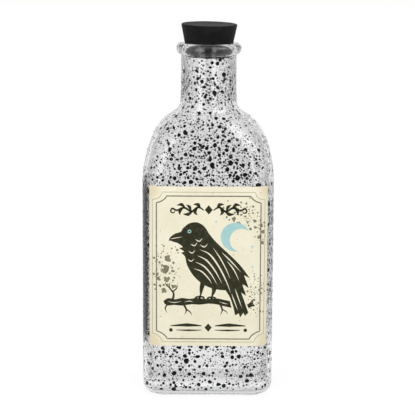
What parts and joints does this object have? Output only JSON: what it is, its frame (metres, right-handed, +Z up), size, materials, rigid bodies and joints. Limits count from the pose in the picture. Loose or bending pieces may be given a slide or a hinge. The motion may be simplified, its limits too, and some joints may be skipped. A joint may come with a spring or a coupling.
{
  "type": "poison bottle",
  "caption": "Rounded oblong clear glass bottle with a black paint spatter, an aged paper label and a tapered black rubber stopper in its rolled lip.",
  "frame": {"origin": "centre of the base, on the surface that the bottle stands on", "axes": "+Z up along the neck, -Y towards the label, +X to the right as the label is read"},
  "size_m": [0.101, 0.0762, 0.2868],
  "materials": {
    "glass": "clear glass, spattered outside with black paint",
    "rubber": "matte moulded rubber",
    "paper": "aged uncoated paper with printed border and ornament"
  },
  "bodies": {
    "bottle": {"glass_bottle": "glass", "paper_label": "paper"},
    "stopper": {"rubber_stopper": "rubber"}
  },
  "joints": [
    {"name": "stopper_lift", "type": "slide", "parent": "bottle", "child": "stopper", "axis": [0, 0, 1], "range_m": [0, 0.06]}
  ]
}
